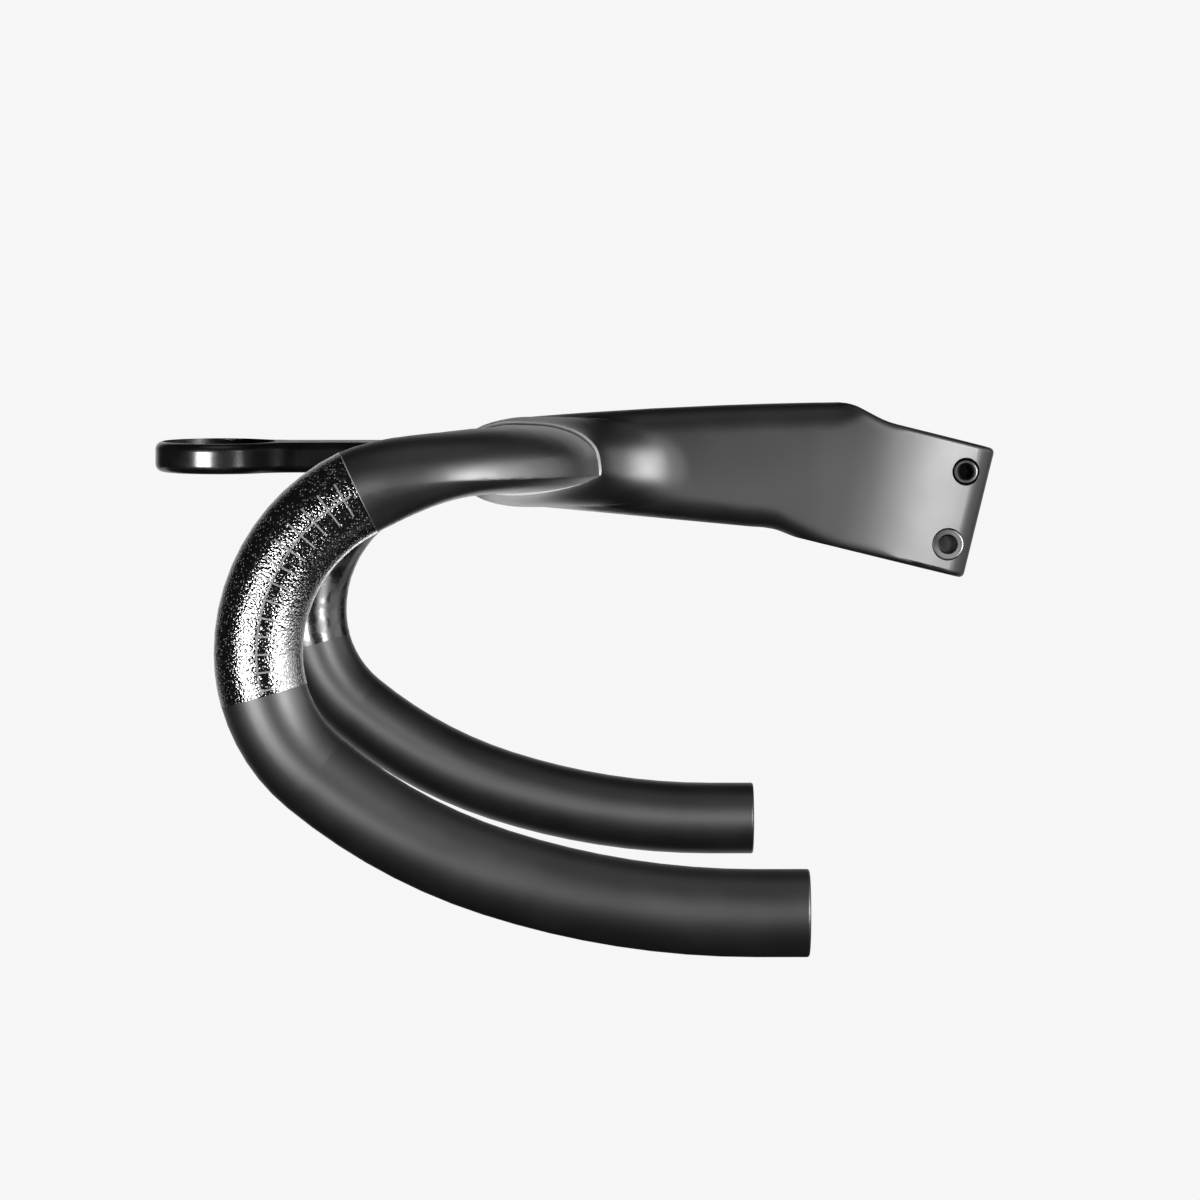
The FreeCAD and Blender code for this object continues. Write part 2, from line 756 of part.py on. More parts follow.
def pinch_bolt(name, level, outward):
    seat = at_clamp(-size("bolt_back"), level) + outward * size("bolt_head_seat")
    top = seat + outward * size("bolt_head_height")
    length = cell("bolt_head_seat") + cell("nut_face") - cell("nut_hex_depth")
    blank = cylinder(f"{name}_head_blank", cell("bolt_head_radius"), cell("bolt_head_height"), seat, outward)
    head = rounded(f"{name}_head", blank, size("bolt_rim_round"), rim_at(top))
    shank = cylinder(f"{name}_shank", cell("bolt_radius"), length, seat, -outward)
    mouth = cell("bolt_mouth_radius")
    recess = hex_recess(name, cell("bolt_hex"), cell("bolt_hex_depth"), mouth, top, outward)
    return cut(name, fuse(f"{name}_blank", [head, shank]), recess)


def sleeve_nut(name, level, outward):
    """The sleeve that a pinch bolt draws in: a round flange with a socket, and a threaded barrel."""
    face = at_clamp(-size("bolt_back"), level) + outward * size("nut_face")
    seat = face - outward * size("nut_flange_height")
    height = cell("nut_flange_height")
    blank = cylinder(f"{name}_flange_blank", cell("nut_flange_radius"), height, seat, outward)
    flange = rounded(f"{name}_flange", blank, size("bolt_rim_round"), rim_at(face))
    barrel = cylinder(f"{name}_barrel", cell("nut_barrel_radius"), cell("nut_barrel_length"), seat, -outward)
    thread_radius = cell("bolt_radius") + cell("fit_clearance")
    thread = cylinder(f"{name}_thread", thread_radius, height + cell("nut_barrel_length"), face, -outward)
    mouth = cell("nut_mouth_radius")
    recess = hex_recess(name, cell("nut_hex"), cell("nut_hex_depth"), mouth, face, outward)
    hole = fuse(f"{name}_hole", [thread, recess])
    return cut(name, fuse(f"{name}_blank", [flange, barrel]), hole)


def pinch_cutters(name, level, outward):
    """Room in the clamp for one bolt and its sleeve nut."""
    axis = at_clamp(-size("bolt_back"), level)
    gap = cell("fit_clearance")
    reach = cell("clamp_half_width") + OVERRUN
    flange_seat = size("nut_face") - size("nut_flange_height")
    barrel_end = flange_seat - size("nut_barrel_length") - size("fit_clearance")
    through = axis - outward * reach.value
    shank = cylinder(f"{name}_bolt_hole", cell("bolt_radius") + gap, reach * 2, through, outward)
    head_seat = axis + outward * size("bolt_head_seat")
    head = cylinder(f"{name}_counterbore", cell("counterbore_radius"), reach, head_seat, outward)
    flange_radius = cell("nut_flange_radius") + gap
    flange = cylinder(f"{name}_flange_seat", flange_radius, reach, axis - outward * flange_seat, -outward)
    barrel_radius = cell("nut_barrel_radius") + gap
    barrel = cylinder(f"{name}_barrel_hole", barrel_radius, reach, axis - outward * barrel_end, -outward)
    return [shank, head, flange, barrel]


def clamp_cutters():
    """The steerer's bore, the seat of the top cap, the slit behind and the holes for the pinch bolts."""
    tall = cell("clamp_height") + 2 * OVERRUN
    bore = cylinder("steerer_bore", cell("steerer_radius"), tall, at_clamp(0, -OVERRUN), UP)
    seat_base = at_clamp(0, size("clamp_height"))
    seat = cylinder("cap_seat", cell("cap_seat_radius"), cell("shoulder_rise") + OVERRUN, seat_base, UP)
    corner = at_clamp(-size("clamp_rear") - OVERRUN, -OVERRUN, -size("slit_width") / 2)
    slit_place = Placement(corner, CLAMP_PLANE.Rotation)
    slit = box("clamp_slit", cell("clamp_rear") + OVERRUN, cell("slit_width"), tall, slit_place)
    holes = [cutter for name, pinch in PINCHES.items() for cutter in pinch_cutters(name, *pinch)]
    return [bore, seat, slit] + holes


# Computer mount: its own frame has its origin at the ring's centre, halfway up, with the arm running back

MOUNT = Placement(Vector(size("ring_x"), 0, size("mount_z")), Rotation(Vector(1, 0, 0), -size("mount_roll")))
MOUNT_UP = MOUNT.Rotation.multVec(Vector(0, 0, 1))
ROOT_X = size("wing_x") + size("wing_front") + size("arm_root_gap") - size("ring_x")
RING_BORE = cell("ring_radius") - cell("ring_wall")
LEDGE_TOP = size("ring_ledge_height") - size("mount_height") / 2
INSERT_TOP = LEDGE_TOP + size("insert_height")
SCREW_X = ROOT_X - size("tongue_depth") / 2
SCREW_SEAT = -size("tongue_height") / 2 - size("mount_screw_seat")
MOUNT_SCREWS = [(SCREW_X, side * size("mount_screw_half_gap")) for side in (1, -1)]
INSERT_SCREWS = [(side * (RING_BORE.value - size("ring_ledge") / 2), 0) for side in (1, -1)]


def in_mount(x, y, z):
    return MOUNT.multVec(Vector(x, y, z))


def mount_box(name, length, width, height, start_x):
    """A block of the mount's frame that runs forward from start_x, centred across and in height."""
    corner = Vector(start_x, -width.value / 2, -height.value / 2)
    return box(name, length, width, height, MOUNT * Placement(corner, Rotation()))


def arm_outline():
    """The ring's outside and the arm's straight sides, with a blend on each side."""
    ring, blend, half = size("ring_radius"), size("arm_blend"), size("arm_half_width")
    centre = Vector(-math.sqrt((ring + blend) ** 2 - (half + blend) ** 2), half + blend, 0)
    on_ring = centre * (ring / (ring + blend))
    on_arm = Vector(centre.x, half, 0)
    between = centre + ((on_ring - centre) + (on_arm - centre)).normalize() * blend
    root = Vector(ROOT_X, half, 0)

    def across(point):
        return Vector(point.x, -point.y, 0)

    return [
        Part.LineSegment(across(root), across(on_arm)),
        Part.Arc(across(on_arm), across(between), across(on_ring)),
        Part.Arc(across(on_ring), Vector(ring, 0, 0), on_ring),
        Part.Arc(on_ring, between, on_arm),
        Part.LineSegment(on_arm, root),
        Part.LineSegment(root, across(root)),
    ]


def mount_arm():
    """The arm and its ring, with a tongue that slides into the wing's nose and a ledge for the insert."""
    plan = free_sketch("mount_plan", arm_outline(), MOUNT)
    slab = extrusion("mount_slab", plan, MOUNT_UP, cell("mount_height"), True)
    inverse = MOUNT.inverse()

    def on_rim(edge):
        middle = inverse.multVec(edge.valueAt((edge.FirstParameter + edge.LastParameter) / 2))
        return abs(abs(middle.z) - size("mount_height") / 2) < CLOSE and middle.x > ROOT_X + CLOSE

    arm = rounded("mount_blank", slab, size("ring_edge_round"), on_rim)
    length = cell("tongue_depth") + cell("arm_half_width")
    tongue_start = ROOT_X - size("tongue_depth")
    width = cell("tongue_half_width") * 2
    tongue = mount_box("mount_tongue", length, width, cell("tongue_height"), tongue_start)
    gap = cell("fit_clearance")
    bore = cylinder("ring_bore", RING_BORE, cell("mount_height"), in_mount(0, 0, LEDGE_TOP), MOUNT_UP)
    floor = in_mount(0, 0, -size("mount_height"))
    ledge_radius = RING_BORE - cell("ring_ledge")
    opening = cylinder("ring_opening", ledge_radius, cell("mount_height") * 2, floor, MOUNT_UP)
    cutters = [bore, opening]
    for i, (x, y) in enumerate(MOUNT_SCREWS, start=1):
        foot = in_mount(x, y, -size("mount_height"))
        radius = cell("mount_screw_radius") + gap
        cutters.append(cylinder(f"tongue_hole_{i}", radius, cell("mount_height") * 2, foot, MOUNT_UP))
    for i, (x, y) in enumerate(INSERT_SCREWS, start=1):
        foot = in_mount(x, y, -size("mount_height"))
        radius = cell("insert_screw_radius") + gap
        cutters.append(cylinder(f"ledge_hole_{i}", radius, cell("mount_height"), foot, MOUNT_UP))
    return cut("mount_arm", fuse("mount_arm_blank", [arm, tongue]), fuse("mount_arm_cutters", cutters))


def mount_cutters():
    """The pocket in the wing's nose for the tongue, and the holes for the two screws below it."""
    gap = cell("fit_clearance")
    width, height = (cell("tongue_half_width") + gap) * 2, cell("tongue_height") + gap * 2
    start = ROOT_X - size("tongue_depth") - size("fit_clearance")
    cutters = [mount_box("nose_pocket", cell("tongue_depth") + 2 * OVERRUN, width, height, start)]
    for i, (x, y) in enumerate(MOUNT_SCREWS, start=1):
        seat = in_mount(x, y, SCREW_SEAT)
        shank_radius, head_radius = cell("mount_screw_radius") + gap, cell("mount_screw_head_radius") + gap
        above, below = cell("mount_screw_seat") + gap, cell("wing_half_thickness") * 2
        cutters.append(cylinder(f"nose_hole_{i}", shank_radius, above, seat, MOUNT_UP))
        cutters.append(cylinder(f"nose_counterbore_{i}", head_radius, below, seat, -MOUNT_UP))
    return cutters


def socket_insert():
    """The quarter-turn socket: two slots let the tabs of a computer in, and the flange holds them."""
    gap = cell("fit_clearance")
    foot = in_mount(0, 0, LEDGE_TOP)
    height = cell("insert_height")
    blank = cylinder("insert_blank", RING_BORE - gap, height, foot, MOUNT_UP)
    bore = cylinder("insert_bore", cell("insert_bore_radius"), height, foot, MOUNT_UP)
    groove_height = height - cell("insert_flange_height")
    groove = cylinder("insert_groove", cell("insert_slot_radius"), groove_height, foot, MOUNT_UP)
    entry = cylinder("insert_entry", cell("insert_slot_radius"), height, foot, MOUNT_UP)
    width = cell("insert_slot_width")
    band = mount_box("insert_band", width, cell("ring_radius") * 2, cell("mount_height"), -width.value / 2)
    slots = common("insert_slots", [entry, band])
    cutters = [bore, groove, slots]
    for i, (x, y) in enumerate(INSERT_SCREWS, start=1):
        screw_foot = in_mount(x, y, LEDGE_TOP)
        head_foot = in_mount(x, y, INSERT_TOP - size("insert_screw_head_height"))
        shank_radius = cell("insert_screw_radius") + gap
        head_radius = cell("insert_screw_head_radius") + gap
        cutters.append(cylinder(f"insert_hole_{i}", shank_radius, height, screw_foot, MOUNT_UP))
        cutters.append(cylinder(f"insert_counterbore_{i}", head_radius, height, head_foot, MOUNT_UP))
    return cut("socket_insert", blank, fuse("insert_cutters", cutters))


def screw_group(name, places, outward, sizes):
    """Like screws in one group: places are their head seats, sizes their head, shank and socket."""
    head_radius, head_height, radius, length, across = sizes
    blanks, recesses = [], []
    for i, seat in enumerate(places, start=1):
        label = f"{name}_{i}"
        blanks.append(cylinder(f"{label}_head", head_radius, head_height, seat, outward))
        blanks.append(cylinder(f"{label}_shank", radius, length, seat, -outward))
        top = seat + outward * head_height.value
        depth, mouth = head_height * SOCKET_DEPTH, across * SOCKET_MOUTH
        recesses.append(hex_recess(label, across, depth, mouth, top, outward))
    return cut(name, fuse(f"{name}_blanks", blanks), fuse(f"{name}_recesses", recesses))


def mount_screws():
    seats = [in_mount(x, y, SCREW_SEAT) for x, y in MOUNT_SCREWS]
    length = cell("mount_screw_seat") + cell("tongue_height") * SCREW_BITE
    head = (cell("mount_screw_head_radius"), cell("mount_screw_head_height"))
    sizes = (*head, cell("mount_screw_radius"), length, cell("mount_screw_hex"))
    return screw_group("mount_screws", seats, -MOUNT_UP, sizes)


def insert_screws():
    seats = [in_mount(x, y, INSERT_TOP - size("insert_screw_head_height")) for x, y in INSERT_SCREWS]
    length = cell("insert_height") - cell("insert_screw_head_height") + cell("ring_ledge_height") * SCREW_BITE
    head = (cell("insert_screw_head_radius"), cell("insert_screw_head_height"))
    sizes = (*head, cell("insert_screw_radius"), length, cell("insert_screw_hex"))
    return screw_group("insert_screws", seats, MOUNT_UP, sizes)


def cockpit_body():
    """The one-piece moulding: stem, wing root and both halves of the bar, with every hole cut at the end."""
    left = half_bar()
    solid = fuse("bar_and_stem", [stem_core(), wing(), left, mirrored("half_bar_right", left)])
    return cut("cockpit_body", solid, fuse("body_cutters", clamp_cutters() + mount_cutters()))


sub_parts = [cockpit_body(), mount_arm(), socket_insert(), mount_screws(), insert_screws()]
for name, (level, outward) in PINCHES.items():
    sub_parts.append(pinch_bolt(f"{name}_pinch_bolt", level, outward))
    sub_parts.append(sleeve_nut(f"{name}_sleeve_nut", level, -outward))
doc.recompute()

failed = [item.Name for item in doc.Objects if {"Invalid", "Error"} & set(item.State)]
failed += [part.Label for part in sub_parts if part.Shape.isNull() or not part.Shape.isValid()]
if failed:
    raise RuntimeError(f"not built: {failed}")
os.makedirs("parts", exist_ok=True)
for part in sub_parts:
    part.Shape.exportStep(f"parts/{part.Label}.step")
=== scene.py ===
"""Studio picture of a one-piece road handlebar and stem with an out-front computer mount."""

import math

import bpy
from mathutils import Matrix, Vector


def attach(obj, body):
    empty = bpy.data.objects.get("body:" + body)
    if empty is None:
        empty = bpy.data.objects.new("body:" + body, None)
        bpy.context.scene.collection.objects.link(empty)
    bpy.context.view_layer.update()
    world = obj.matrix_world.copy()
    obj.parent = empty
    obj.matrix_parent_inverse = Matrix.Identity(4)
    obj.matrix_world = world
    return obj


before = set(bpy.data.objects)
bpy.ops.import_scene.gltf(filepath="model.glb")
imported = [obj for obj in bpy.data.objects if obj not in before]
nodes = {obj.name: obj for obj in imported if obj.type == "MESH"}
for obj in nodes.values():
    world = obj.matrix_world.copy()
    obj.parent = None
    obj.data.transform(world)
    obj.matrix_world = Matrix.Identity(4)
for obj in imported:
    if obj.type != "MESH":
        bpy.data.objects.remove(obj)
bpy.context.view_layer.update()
scene = bpy.context.scene
scene.view_settings.view_transform = "Standard"

MM = 0.001

# The hooks' centrelines and the wing's collars, as the solids have them
SIDE_Y = 210 * MM
FRONT_X, FRONT_Z = 180.3 * MM, -21.773 * MM
UPPER_ROUND, LOWER_ROUND = 48.5 * MM, 42.4 * MM
BAR_RADIUS, GRIP_RADIUS = 12 * MM, 12.1 * MM
GRIP_TOP, GRIP_BOTTOM = math.radians(64), math.radians(15.5)
COLLAR_Y = 46 * MM

# Where the mount's gloss runs out, and where the lacquer flows over the stem's creases
RING_REAR_X, TONGUE_X = 200 * MM, 192 * MM
SEAT_FRONT_X, STEM_FRONT_X = 18 * MM, 114 * MM
BOLTS_FRONT_X, STEM_SIDE_Y = -12 * MM, 18 * MM
SHARP_EDGE, SOFT_EDGE = 0.1 * MM, 4 * MM

# Painted highlight lines: heights on the collars and on the line where the grit begins, and that line's
# half width
COLLAR_FOOT_Z, COLLAR_HEAD_Z = 22 * MM, 30 * MM
RIM_FOOT_Z, RIM_HEAD_Z = 12 * MM, 26 * MM
LIP_HALF, LIP_SOFT = 0.25 * MM, 0.3 * MM
RIM_HALF, RIM_SOFT = 0.003, 0.004

# Scales of the finishes' patterns, in waves to the metre
LACQUER_CLOUD, LACQUER_PEEL, LACQUER_PATCHES = 60, 2600, 260
GRIT_GRAINS, GRIT_SWELL = 1500, 1700
MOULDING_CLOUD, MOULDING_GRAIN = 150, 1800
STEEL_CLOUD, STEEL_GRAIN = 120, 2500
FLOOR_SPECKLE = 30
NOISE_LOW, NOISE_HIGH = 0.3, 0.7
GRAIN_DEPTH = 0.1 * MM
# How far the steel's painted shade looks for the walls of a recess
RECESS = 6 * MM


# Node trees


class Value:
    """An output in a node tree that takes part in sums."""

    def __init__(self, tree, socket):
        self.tree = tree
        self.socket = socket

    def math(self, operation, *others):
        return self.tree.node("ShaderNodeMath", {"operation": operation}, self, *others)

    def __add__(self, other):
        return self.math("ADD", other)

    __radd__ = __add__

    def __sub__(self, other):
        return self.math("SUBTRACT", other)

    def __rsub__(self, other):
        return self.tree.node("ShaderNodeMath", {"operation": "SUBTRACT"}, other, self)

    def __mul__(self, other):
        return self.math("MULTIPLY", other)

    __rmul__ = __mul__

    def __truediv__(self, other):
        return self.math("DIVIDE", other)

    def __rtruediv__(self, other):
        return self.tree.node("ShaderNodeMath", {"operation": "DIVIDE"}, other, self)

    def ramp(self, low, high, first=0.0, last=1.0):
        """first at low, last at high, eased between."""
        settings = {"interpolation_type": "SMOOTHSTEP"}
        return self.tree.node("ShaderNodeMapRange", settings, self, low, high, first, last)

    def spread(self, first, last):
        """A noise's usual range, turned into one from first to last."""
        return self.ramp(NOISE_LOW, NOISE_HIGH, first, last)

    def near(self, centre, reach, soft):
        """1 within reach of centre, then fading out."""
        return (self - centre).math("ABSOLUTE").ramp(reach, reach + soft, 1.0, 0.0)


class Tree:
    """A node tree being built: a material's, the world's or a geometry group's."""

    def __init__(self, tree):
        tree.nodes.clear()
        self.tree = tree

    def node(self, kind, settings, *values, out=0, **named):
        item = self.tree.nodes.new(kind)
        for key, value in settings.items():
            setattr(item, key, value)
        for key, value in [*enumerate(values), *named.items()]:
            socket = item.inputs[key if isinstance(key, int) else key.replace("_", " ")]
            for one in value if isinstance(value, list) else [value]:
                if isinstance(one, Value):
                    self.tree.links.new(one.socket, socket)
                else:
                    socket.default_value = one
        return Value(self, item.outputs[out]) if item.outputs else None

    def parts(self, vector):
        first = self.node("ShaderNodeSeparateXYZ", {}, vector)
        return [Value(self, socket) for socket in first.socket.node.outputs]

    def place(self):
        return self.node("ShaderNodeTexCoord", {}, out=3)

    def noise(self, scale, detail=2.0):
        return self.node("ShaderNodeTexNoise", {}, Vector=self.place(), Scale=scale, Detail=detail)

    def grains(self, scale, out=0):
        return self.node("ShaderNodeTexVoronoi", {}, Vector=self.place(), Scale=scale, out=out)

    def bump(self, height, strength, distance=GRAIN_DEPTH, **base):
        relief = {"Height": height, "Strength": strength, "Distance": distance}
        return self.node("ShaderNodeBump", {}, **relief, **base)


def finish(name, build):
    """A material whose shader is made by build(tree)."""
    made = bpy.data.materials.new(name)
    made.use_nodes = True
    tree = Tree(made.node_tree)
    tree.node("ShaderNodeOutputMaterial", {}, build(tree))
    return made


def principled(tree, **sockets):
    return tree.node("ShaderNodeBsdfPrincipled", {}, **sockets)


# Finishes


def satin_carbon(tree):
    """Satin lacquer over black carbon, with painted highlight lines in its colour on the collars' lips
    and where the grit begins.

    The lacquer flows over the shallow creases of the stem, clear of its bolts and bore.
    """
    cloud = tree.noise(LACQUER_CLOUD)
    peel = tree.noise(LACQUER_PEEL, 1.0)
    x, y, z = tree.parts(tree.place())
    span = y.math("ABSOLUTE")

    # Painted highlight: a pale band in the base colour along each collar's lip, paler low down than high
    # up
    lip = span.near(COLLAR_Y - 0.5 * MM, LIP_HALF, LIP_SOFT)
    lip_highlight = lip * z.ramp(COLLAR_FOOT_Z, COLLAR_HEAD_Z, 0.7, 0.25)
    # Painted highlight: a pale line in the base colour where the grit begins, paler high up than low
    # down
    turn = (z - FRONT_Z).math("ARCTAN2", x - (FRONT_X - UPPER_ROUND))
    rim = turn.near(GRIP_TOP, RIM_HALF, RIM_SOFT) * span.ramp(COLLAR_Y * 3, COLLAR_Y * 4)
    rim_highlight = rim * z.ramp(RIM_FOOT_Z, RIM_HEAD_Z, 0.02, 0.18)

    sides = span.ramp(STEM_SIDE_Y, STEM_SIDE_Y + 2 * MM) * x.ramp(BOLTS_FRONT_X, BOLTS_FRONT_X + 10 * MM)
    ahead = x.ramp(SEAT_FRONT_X, SEAT_FRONT_X + 6 * MM) * x.ramp(STEM_FRONT_X, STEM_FRONT_X - 4 * MM)
    inside = span.ramp(COLLAR_Y - 7 * MM, COLLAR_Y - 4 * MM, 1.0, 0.0)
    stem = sides.math("MAXIMUM", ahead) * inside
    flow = tree.node("ShaderNodeBevel", {"samples": 8}, stem.ramp(0.0, 1.0, SHARP_EDGE, SOFT_EDGE))
    return principled(
        tree,
        Base_Color=cloud.spread(0.0015, 0.003) + lip_highlight + rim_highlight,
        Roughness=cloud.spread(0.43, 0.46),
        Specular_IOR_Level=1.0,
        Normal=tree.bump(peel, 0.04, Normal=flow),
    )


def grip_grit(dark, light, height):
    """Grit of a height under gloss lacquer, in a range of greys, with a painted glint, a pale base
    colour, on some of its grains.
    """

    def build(tree):
        grains = tree.grains(GRIT_GRAINS)
        swell = tree.noise(GRIT_SWELL)
        chosen, _, _ = tree.parts(tree.grains(GRIT_GRAINS, out=1))
        # Painted highlight: some grains get a paler base colour to stand for sparkle
        painted_glints = chosen.ramp(0.55, 0.65) * grains.ramp(0.15, 0.45, 0.16, 0.0)
        return principled(
            tree,
            Base_Color=swell.spread(dark, light) + painted_glints,
            Roughness=swell.spread(0.07, 0.15),
            IOR=1.9,
            Specular_IOR_Level=1.0,
            Normal=tree.bump(swell - 0.7 * grains, 1.0, height),
        )

    return build


def grip_lacquer(tree):
    """Gloss lacquer that dried in patches, on the hooks' inner sides."""
    patches = tree.noise(LACQUER_PATCHES, 3.0)
    return principled(
        tree,
        Base_Color=patches.spread(0.0015, 0.004),
        Roughness=patches.ramp(0.35, 0.65, 0.2, 0.38),
        Specular_IOR_Level=1.0,
        Normal=tree.bump(patches, 0.06),
    )


def moulding(dark, light, smooth, rough, shine):
    """Moulded black plastic, from gloss to a fine matt."""

    def build(tree):
        cloud = tree.noise(MOULDING_CLOUD)
        return principled(
            tree,
            Base_Color=cloud.spread(dark, light),
            Roughness=cloud.spread(smooth, rough),
            Specular_IOR_Level=shine,
            Normal=tree.bump(tree.noise(MOULDING_GRAIN, 1.0), 0.2 * rough),
        )

    return build


def mount_black(tree):
    """Gloss on the mount's ring, running into a dull black tongue."""
    ring = moulding(0.003, 0.005, 0.24, 0.3, 1.0)(tree)
    tongue = moulding(0.002, 0.004, 0.34, 0.4, 0.08)(tree)
    x, _, _ = tree.parts(tree.place())
    return tree.node("ShaderNodeMixShader", {}, x.ramp(RING_REAR_X, TONGUE_X), ring, tongue)


def steel(dark, light):
    """Turned steel in a range of greys, blackened or bare, with painted shade in its recesses."""

    def build(tree):
        cloud = tree.noise(STEEL_CLOUD)
        unshaded = tree.node("ShaderNodeAmbientOcclusion", {"only_local": True}, Distance=RECESS, out=1)
        return principled(
            tree,
            # Painted shade: the base colour darkens where ambient occlusion finds a recess
            Base_Color=cloud.spread(dark, light) * unshaded.ramp(0.6, 0.96, 0.04, 1.0),
            Metallic=1.0,
            Roughness=cloud.spread(0.26, 0.34),
            Normal=tree.bump(tree.noise(STEEL_GRAIN, 1.0), 0.03),
        )

    return build


# Dressing the solids


SATIN, GRIT, LACQUER = range(3)
FACET_SLACK = 1 * MM


def in_grip(point):
    """True on the coated stretch of either hook."""
    height = point.z - FRONT_Z
    ring = UPPER_ROUND if height > 0 else LOWER_ROUND
    across = point.x - (FRONT_X - ring)
    turn = math.atan2(height, across)
    reach = math.hypot(math.hypot(height, across) - ring, abs(point.y) - SIDE_Y)
    return -GRIP_BOTTOM < turn < GRIP_TOP and abs(reach - BAR_RADIUS) < FACET_SLACK


def dress(node, *finishes):
    mesh = nodes[node].data
    mesh.materials.clear()
    for made in finishes:
        mesh.materials.append(made)
    return mesh


def body_finish(face):
    """Which of the body's finishes a face has."""
    if in_grip(face.center):
        return GRIT if abs(face.center.y) > SIDE_Y else LACQUER
    return SATIN


body = dress(
    "cockpit_body",
    finish("satin_carbon", satin_carbon),
    finish("grip_grit", grip_grit(0.0015, 0.005, 0.14 * MM)),
    finish("grip_lacquer", grip_lacquer),
)
for face in body.polygons:
    face.material_index = body_finish(face)

dress("mount_arm", finish("mount_black", mount_black))
dress("socket_insert", finish("insert_matt", moulding(0.012, 0.02, 0.42, 0.5, 0.5)))

black_steel = finish("black_steel", steel(0.1, 0.15))
bare_steel = finish("bare_steel", steel(0.22, 0.3))
for name in ("mount_screws", "insert_screws", "upper_pinch_bolt", "lower_pinch_bolt"):
    dress(name, black_steel)
for name in ("upper_sleeve_nut", "lower_sleeve_nut"):
    dress(name, bare_steel)


# Ruler on the left hook's outer side

RULER = {
    "tick_count": 13,
    "tick_step": 5 * MM,
    "first_tick": -10 * MM,
    "tick_length": 10.5 * MM,
    "line_middle": 20.5 * MM,
    "line_length": 63 * MM,
    "stroke_width": 0.5 * MM,
    "ink_radius": GRIP_RADIUS + 0.03 * MM,
}


def ruler_group():
    """Strokes laid out flat, along and across the hook, then wrapped on its outer side."""
    group = bpy.data.node_groups.new("hook_ruler", "GeometryNodeTree")
    for name, value in RULER.items():
        kind = "NodeSocketInt" if isinstance(value, int) else "NodeSocketFloat"
        group.interface.new_socket(name, in_out="INPUT", socket_type=kind)
    group.interface.new_socket("strokes", in_out="OUTPUT", socket_type="NodeSocketGeometry")
    tree = Tree(group)
    first = tree.node("NodeGroupInput", {}).socket.node
    given = {name: Value(tree, first.outputs[name]) for name in RULER}

    tick = tree.node(
        "GeometryNodeMeshGrid", {},
        Size_X=given["stroke_width"], Size_Y=given["tick_length"], Vertices_X=2, Vertices_Y=13,
    )
    start = tree.node("ShaderNodeCombineXYZ", {}, given["first_tick"])
    step = tree.node("ShaderNodeCombineXYZ", {}, given["tick_step"])
    row = tree.node(
        "GeometryNodeMeshLine", {},
        Count=given["tick_count"], Start_Location=start, Offset=step,
    )
    ticks = tree.node("GeometryNodeInstanceOnPoints", {}, Points=row, Instance=tick)
    line = tree.node(
        "GeometryNodeMeshGrid", {},
        Size_X=given["line_length"], Size_Y=given["stroke_width"], Vertices_X=64, Vertices_Y=2,
    )
    shift = tree.node("ShaderNodeCombineXYZ", {}, given["line_middle"])
    line = tree.node("GeometryNodeTransform", {}, line, Translation=shift)
    both = tree.node("GeometryNodeJoinGeometry", {}, [ticks, line])
    flat = tree.node("GeometryNodeRealizeInstances", {}, both)

    along, across, _ = tree.parts(tree.node("GeometryNodeInputPosition", {}))
    upper = along.math("GREATER_THAN", 0.0)
    ring = LOWER_ROUND + (UPPER_ROUND - LOWER_ROUND) * upper
    turn, tilt = along / ring, across / given["ink_radius"]
    reach = ring + given["ink_radius"] * tilt.math("SINE")
    wrapped = tree.node(
        "ShaderNodeCombineXYZ", {},
        FRONT_X - ring + reach * turn.math("COSINE"),
        SIDE_Y + given["ink_radius"] * tilt.math("COSINE"),
        FRONT_Z + reach * turn.math("SINE"),
    )
    laid = tree.node("GeometryNodeSetPosition", {}, flat, Position=wrapped)
    ink = finish("ruler_ink", grip_grit(0.14, 0.22, 0.05 * MM))
    inked = tree.node("GeometryNodeSetMaterial", {}, laid, Material=ink)
    tree.node("NodeGroupOutput", {}, inked)
    return group


def hook_ruler():
    ruler = bpy.data.objects.new("hook_ruler", bpy.data.meshes.new("hook_ruler_start"))
    scene.collection.objects.link(ruler)
    strokes = ruler.modifiers.new("strokes", "NODES")
    strokes.node_group = ruler_group()
    for item in strokes.node_group.interface.items_tree:
        if item.in_out == "INPUT":
            strokes[item.identifier] = RULER[item.name]
    made = bpy.data.meshes.new_from_object(ruler.evaluated_get(bpy.context.evaluated_depsgraph_get()))
    ruler.modifiers.clear()
    ruler.data = made
    for face in made.polygons:
        face.use_smooth = True
    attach(ruler, "root")


hook_ruler()


# Floor, light and camera

BACKGROUND, BACKDROP, STUDIO_DARK = 0.925, 0.9, 0.008
BACKDROP_EDGE, BACKDROP_FULL = -0.7, -0.95
FLOOR_Z = -300 * MM
FLOOR_WIDE, FLOOR_BACK, FLOOR_FRONT = 1.2, -0.75, 1.2
FLOOR_FADE, FLOOR_GONE = 0.35, 0.7
FLOOR_DIM, FLOOR_WHITE = -0.3, -0.5


def grey(level):
    return (level, level, level, 1)


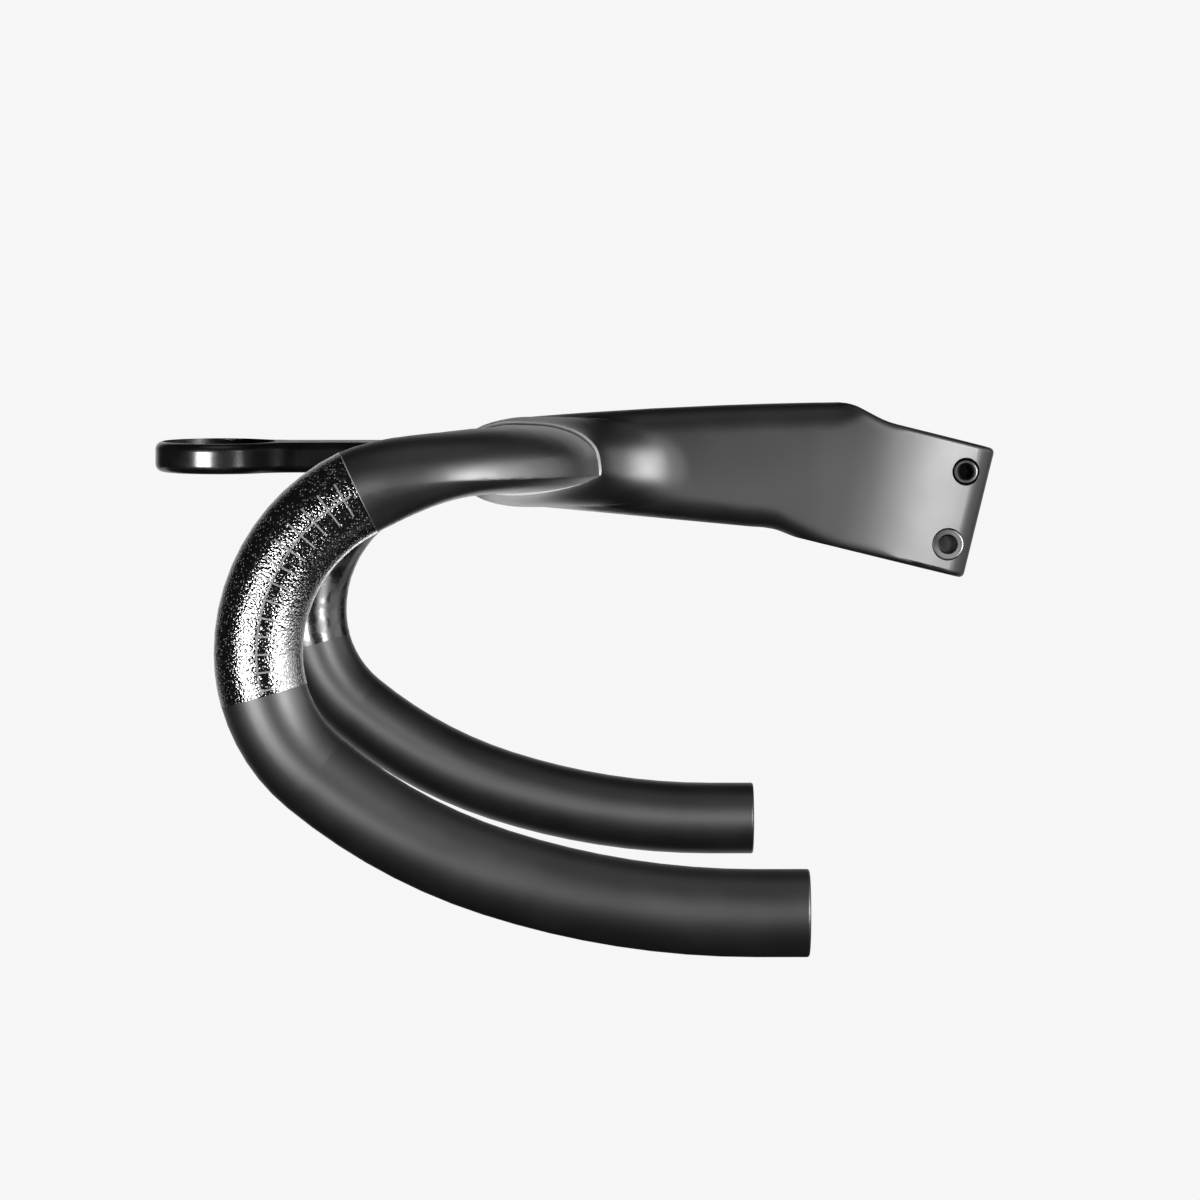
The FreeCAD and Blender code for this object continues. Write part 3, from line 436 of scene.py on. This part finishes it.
def pale_floor(tree):
    """Pale to the eye with the object's shadow on it, and dim in reflections but for its far part.

    It runs out into the background's own white.
    """
    x, y, _ = tree.parts(tree.place())
    away = (x * x + y * y).math("SQRT").ramp(FLOOR_FADE, FLOOR_GONE)
    seen = tree.node("ShaderNodeLightPath", {}).math("MAXIMUM", y.ramp(FLOOR_DIM, FLOOR_WHITE))
    dim = tree.node("ShaderNodeBsdfDiffuse", {}, grey(0.01))
    lit = tree.node("ShaderNodeBsdfDiffuse", {}, tree.noise(FLOOR_SPECKLE).spread(0.3, 0.32))
    glow = tree.node("ShaderNodeEmission", {}, grey(1), 0.6)
    white = tree.node("ShaderNodeEmission", {}, grey(1), BACKGROUND)
    pale = tree.node("ShaderNodeAddShader", {}, lit, glow)
    shown = tree.node("ShaderNodeMixShader", {}, away, pale, white)
    return tree.node("ShaderNodeMixShader", {}, seen, dim, shown)


corners = [
    (-FLOOR_WIDE, FLOOR_BACK, FLOOR_Z),
    (FLOOR_WIDE, FLOOR_BACK, FLOOR_Z),
    (FLOOR_WIDE, FLOOR_FRONT, FLOOR_Z),
    (-FLOOR_WIDE, FLOOR_FRONT, FLOOR_Z),
]
floor_mesh = bpy.data.meshes.new("floor")
floor_mesh.from_pydata(corners, [], [(0, 1, 2, 3)])
floor_mesh.materials.append(finish("pale_floor", pale_floor))
floor = bpy.data.objects.new("floor", floor_mesh)
scene.collection.objects.link(floor)

CAMERA_PLACE = Vector((108.4, 1911, 38.2)) * MM
CAMERA_AIM = Vector((-76.5 / 6276, -1, -168 / 6276))
LENS, SENSOR = 188.3, 36.0

camera = bpy.data.objects.new("camera", bpy.data.cameras.new("camera"))
scene.collection.objects.link(camera)
camera.data.lens, camera.data.sensor_width = LENS, SENSOR
camera.location = CAMERA_PLACE
camera.rotation_euler = CAMERA_AIM.to_track_quat("-Z", "Y").to_euler()
scene.camera = camera


def softbox(name, place, aim, width, height, glow):
    """A soft rectangular light: glow is the brightness of its face."""
    lamp = bpy.data.lights.new(name, "AREA")
    lamp.shape = "RECTANGLE"
    lamp.size, lamp.size_y = width, height
    lamp.energy = glow * math.pi * width * height
    holder = bpy.data.objects.new(name, lamp)
    holder.location = place
    holder.rotation_euler = (Vector(place) - Vector(aim)).to_track_quat("Z", "Y").to_euler()
    holder.visible_camera = False
    scene.collection.objects.link(holder)


# Each softbox's place, what it points at, its width and height, and its glow
STEM_ROOT = (0.05, 0.05, 0.0)
HOOK_SIDE = (0.15, 0.1, 0.0)
WING_BELLY = (0.12, 0.03, 0.02)
MIDDLE = (0.08, 0.0, 0.0)
SOFTBOXES = {
    "near_box": ((-0.32, 0.38, 0.035), STEM_ROOT, 0.32, 0.36, 3.2),
    "side_box": ((-0.72, 0.98, 0.04), STEM_ROOT, 0.3, 0.4, 46),
    "left_box": ((0.64, 0.93, -0.07), HOOK_SIDE, 0.42, 0.16, 48),
    "belly_box": ((0.12, -0.12, -0.083), WING_BELLY, 0.07, 0.06, 3.6),
    "rear_fill": ((-1.7, 0.0, 0.2), MIDDLE, 1.4, 1.2, 1.6),
    "top_fill": ((-0.1, 0.5, 1.7), MIDDLE, 1.6, 1.0, 0.4),
}
for name, sizes in SOFTBOXES.items():
    softbox(name, *sizes)


def studio(tree):
    """Dark all round but for the white backdrop behind the object, which the eye sees everywhere."""
    _, behind, _ = tree.parts(tree.node("ShaderNodeTexCoord", {}, out=0))
    glow = behind.ramp(BACKDROP_EDGE, BACKDROP_FULL, STUDIO_DARK, BACKDROP)
    seen = tree.node("ShaderNodeLightPath", {})
    return tree.node("ShaderNodeBackground", {}, grey(1), glow + seen * (BACKGROUND - glow))


world = bpy.data.worlds.new("studio")
scene.world = world
world.use_nodes = True
sky = Tree(world.node_tree)
sky.node("ShaderNodeOutputWorld", {}, studio(sky))
